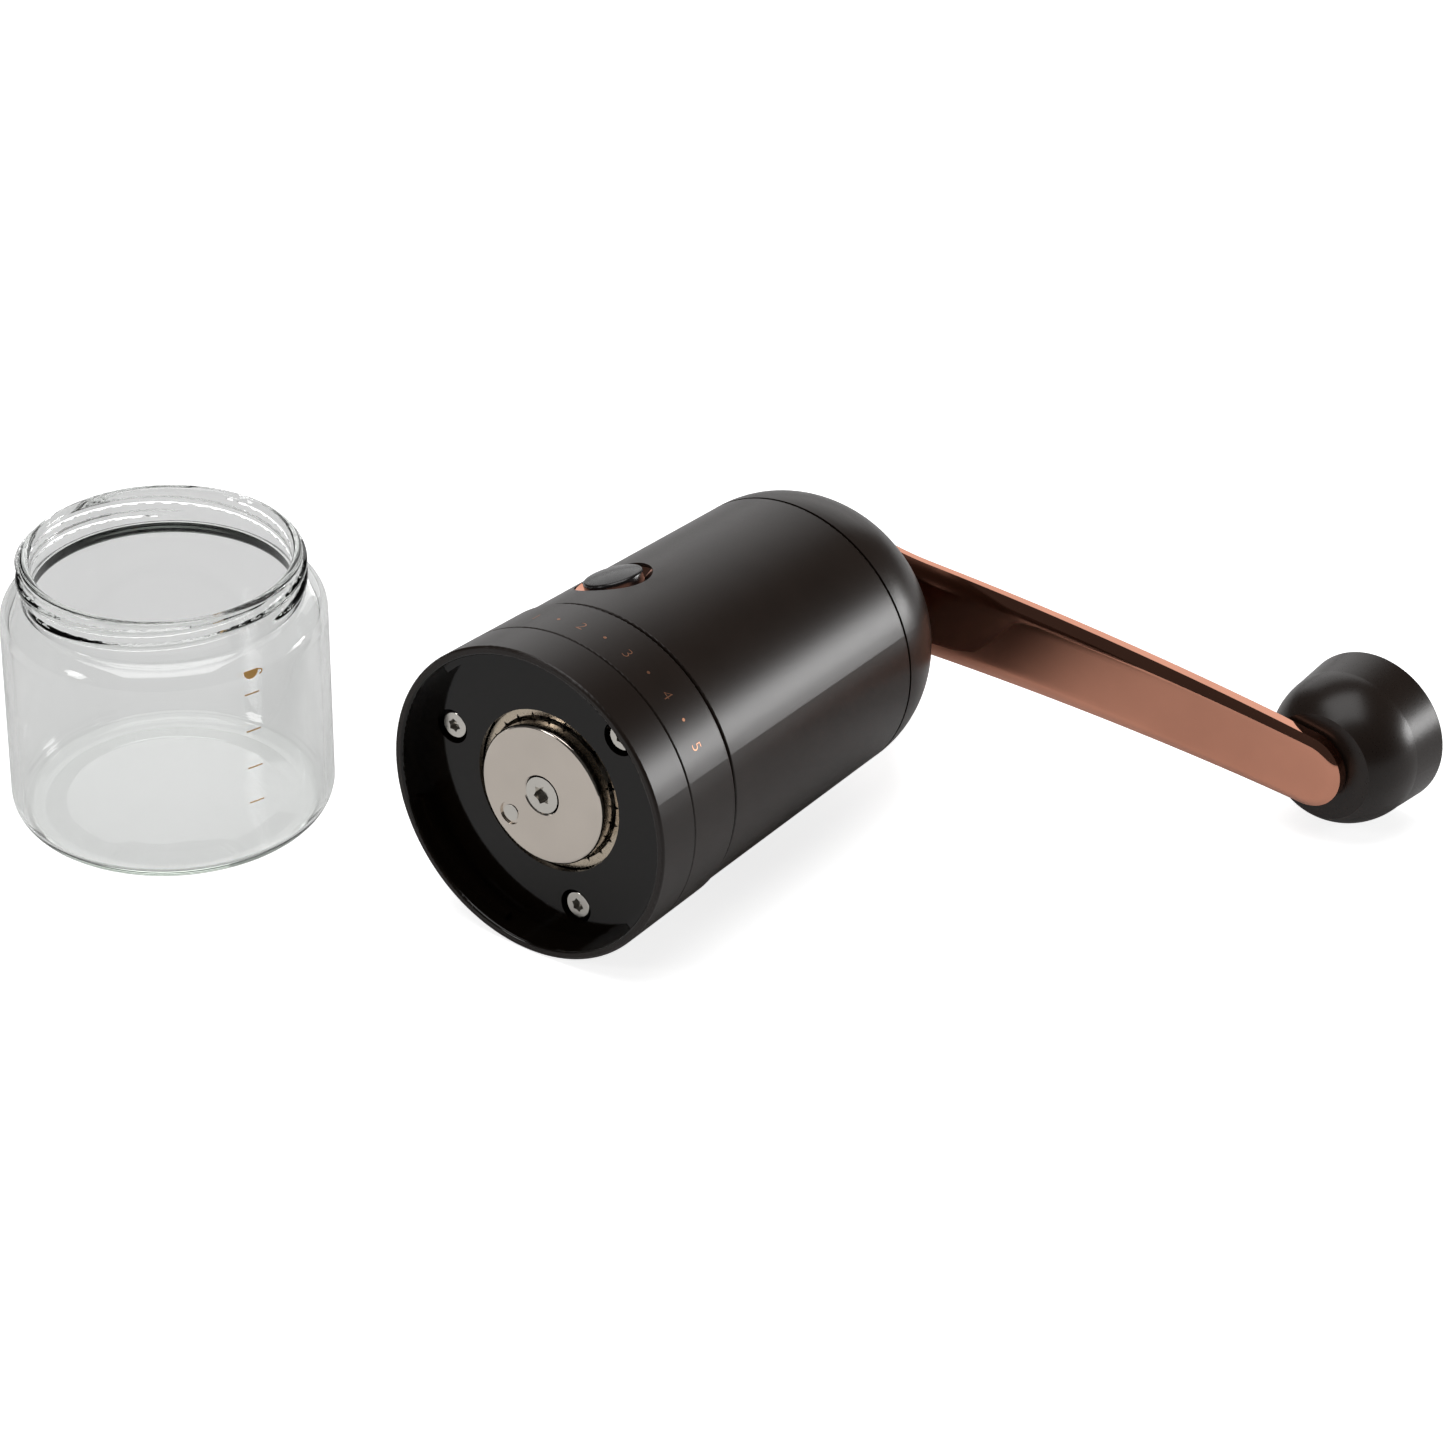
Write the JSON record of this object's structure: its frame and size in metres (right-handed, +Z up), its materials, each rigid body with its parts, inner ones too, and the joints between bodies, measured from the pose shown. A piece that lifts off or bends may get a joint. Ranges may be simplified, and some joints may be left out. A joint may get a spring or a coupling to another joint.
{
  "type": "hand crank coffee grinder",
  "caption": "Hand coffee mill laid on its side with side crank, numbered grind ring, lock button and open burr end, beside its unscrewed glass jar.",
  "frame": {"origin": "on the table under the middle of the mill, crank and jar laid out together", "axes": "+Z up; the mill's axis runs along +Y from its open rim to its domed lid, 2 degrees nose down; the jar stands towards -X and the crank points to +X"},
  "size_m": [0.2886, 0.2136, 0.0783],
  "materials": {
    "body_brown": "satin dark brown lacquer",
    "collar_black": "gloss moulded",
    "knob_brown": "satin soft finish",
    "button_black": "gloss",
    "copper": "polished copper plate",
    "nickel": "polished nickel plate",
    "burr_steel": "hardened steel",
    "steel": "bright steel",
    "inner_metal": "die cast",
    "inner_plastic": "moulded",
    "bushing": "sintered bronze",
    "glass": "clear glass"
  },
  "bodies": {
    "housing": {"jar_collar": "collar_black", "collar_screw_1": "steel", "collar_screw_2": "steel", "collar_screw_3": "steel", "core_frame": "inner_metal", "outer_burr": "burr_steel", "upper_bridge": "inner_metal", "upper_bushing": "bushing", "hopper_liner": "inner_plastic", "body_shell": "body_brown", "button_bezel": "copper", "button_cup": "inner_plastic", "button_spring": "steel"},
    "setting_ring": {"adjust_ring": "body_brown"},
    "burr_carrier": {"lower_bridge": "inner_metal", "lower_bushing": "bushing"},
    "drive": {"drive_shaft": "steel", "inner_burr": "nickel", "burr_screw": "steel", "burr_pin": "steel"},
    "button": {"lock_button": "button_black"},
    "lid": {"dome_cap": "body_brown", "dome_bushing": "bushing"},
    "crank": {"crank_spindle": "steel", "crank_arm": "copper", "crank_screw": "copper", "knob_pin": "steel"},
    "handle": {"knob": "knob_brown", "knob_cap": "knob_brown"},
    "jar": {"jar": "glass"}
  },
  "joints": [
    {"name": "ring_turn", "type": "hinge", "parent": "housing", "child": "setting_ring", "pos_m": [0.00335, -0.0671, 0.03918], "axis": [0, -0.9994, 0.0352], "range_deg": [0, 80]},
    {"name": "burr_lift", "type": "slide", "parent": "housing", "child": "burr_carrier", "axis": [0, -0.9994, 0.0352], "range_m": [0, 0.0008]},
    {"name": "lid_lift", "type": "slide", "parent": "housing", "child": "lid", "axis": [0, 0.9994, -0.0352], "range_m": [0, 0.04]},
    {"name": "crank_turn", "type": "hinge", "parent": "lid", "child": "crank", "pos_m": [0.00335, -0.0671, 0.03918], "axis": [0, 0.9994, -0.0352], "continuous": true},
    {"name": "drive_turn", "type": "hinge", "parent": "burr_carrier", "child": "drive", "pos_m": [0.00335, -0.0671, 0.03918], "axis": [0, 0.9994, -0.0352], "continuous": true},
    {"name": "knob_turn", "type": "hinge", "parent": "crank", "child": "handle", "pos_m": [0.12484, -0.06758, 0.02561], "axis": [0, 0.9994, -0.0352], "continuous": true},
    {"name": "button_press", "type": "slide", "parent": "housing", "child": "button", "axis": [0.3338, -0.0332, -0.9421], "range_m": [0, 0.0013], "stiffness_N_per_m": 500, "springref_m": -0.002, "deforming": ["button_spring"]},
    {"name": "jar_lift", "type": "slide", "parent": "housing", "child": "jar", "axis": [0, 0, 1], "range_m": [0, 0.1]}
  ],
  "couplings": [
    {"joint": "ring_turn", "follows": "burr_lift", "rad_per_m": 1745.3},
    {"joint": "drive_turn", "follows": "crank_turn", "ratio": 1}
  ]
}
